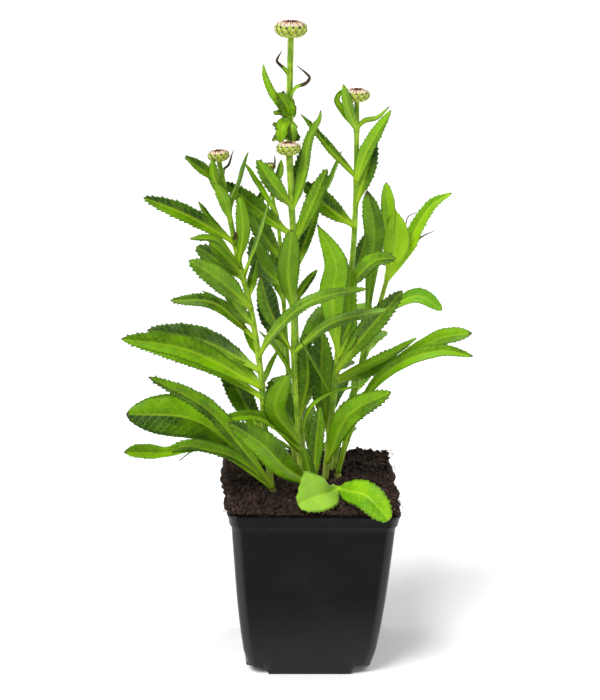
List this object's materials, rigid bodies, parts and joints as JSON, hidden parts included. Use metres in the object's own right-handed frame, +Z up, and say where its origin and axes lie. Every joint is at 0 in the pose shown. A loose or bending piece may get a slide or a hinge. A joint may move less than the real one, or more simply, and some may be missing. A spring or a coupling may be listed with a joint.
{
  "type": "potted snow lady shasta daisy",
  "caption": "Dwarf shasta daisy in bud: upright leafy stems with toothed leaves, closed flower heads on top, standing in a square black nursery pot of peat.",
  "frame": {"origin": "middle of the flat underside of the pot", "axes": "+Z up, out of the pot; X and Y square to the pot's sides, with the side that the picture shows facing -Y"},
  "size_m": [0.2227, 0.1626, 0.4166],
  "materials": {
    "pot_plastic": "satin black polypropylene",
    "peat": "rough, moist, fibrous peat",
    "foliage": "fresh green leaf, soft sheen",
    "foliage_bright": "young yellow-green leaf, soft sheen",
    "bracts": "yellow-green bracts with dark edges",
    "ray_tips": "cream ray florets, matt"
  },
  "bodies": {
    "root": {"pot": "pot_plastic", "soil": "peat", "stem_tall": "foliage", "stem_front": "foliage", "stem_left": "foliage", "stem_right": "foliage", "stem_rear": "foliage", "shoot_right": "foliage_bright", "basal_left": "foliage", "basal_front": "foliage", "basal_right": "foliage", "basal_rear": "foliage", "young_leaves": "foliage_bright", "bud_tall": "bracts", "bud_front": "bracts", "bud_left": "bracts", "bud_right": "bracts", "bud_rear": "bracts", "bud_tall_rays": "ray_tips", "bud_front_rays": "ray_tips", "bud_left_rays": "ray_tips", "bud_right_rays": "ray_tips"}
  },
  "joints": []
}
